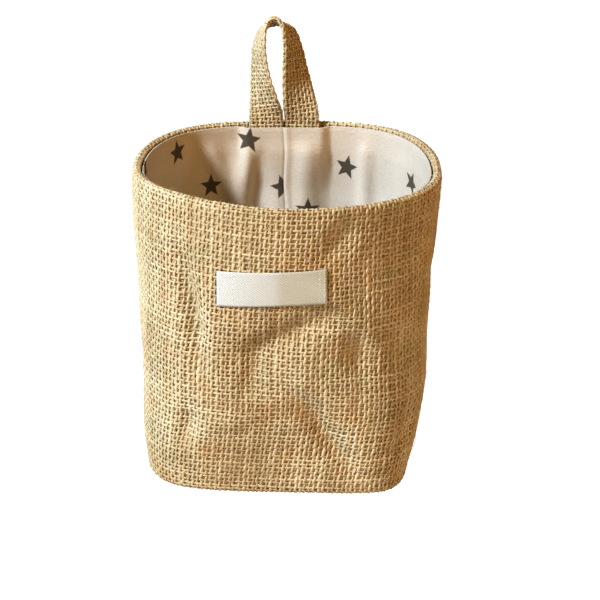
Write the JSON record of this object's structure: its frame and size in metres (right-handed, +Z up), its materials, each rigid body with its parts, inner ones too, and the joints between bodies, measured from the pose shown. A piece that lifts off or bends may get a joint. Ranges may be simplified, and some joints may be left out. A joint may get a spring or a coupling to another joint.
{
  "type": "hanging storage bag",
  "caption": "Small jute storage bag standing open on a flat boxed base, with a turned-in rim, a star-print cloth lining, a hanging loop at the back and a blank sewn label.",
  "frame": {"origin": "middle of the whole bag's box in plan, on the surface that it stands on", "axes": "+Z up; -Y is the front with the label; the hanging loop is at the back, towards +Y; +X is the right side seen from the front"},
  "size_m": [0.15, 0.1564, 0.2044],
  "materials": {
    "jute": "coarse natural jute plain weave with open holes, slubs and stray fibres",
    "lining_cloth": "off-white linen and cotton plain weave with scattered dark grey-brown stars",
    "loop_jute": "natural jute plain weave, folded to a flat band",
    "label_tape": "off-white twill tape, blank, sewn at both ends with white thread"
  },
  "bodies": {
    "root": {"jute_shell": "jute", "lining": "lining_cloth", "hanging_loop": "loop_jute", "label": "label_tape"}
  },
  "joints": []
}
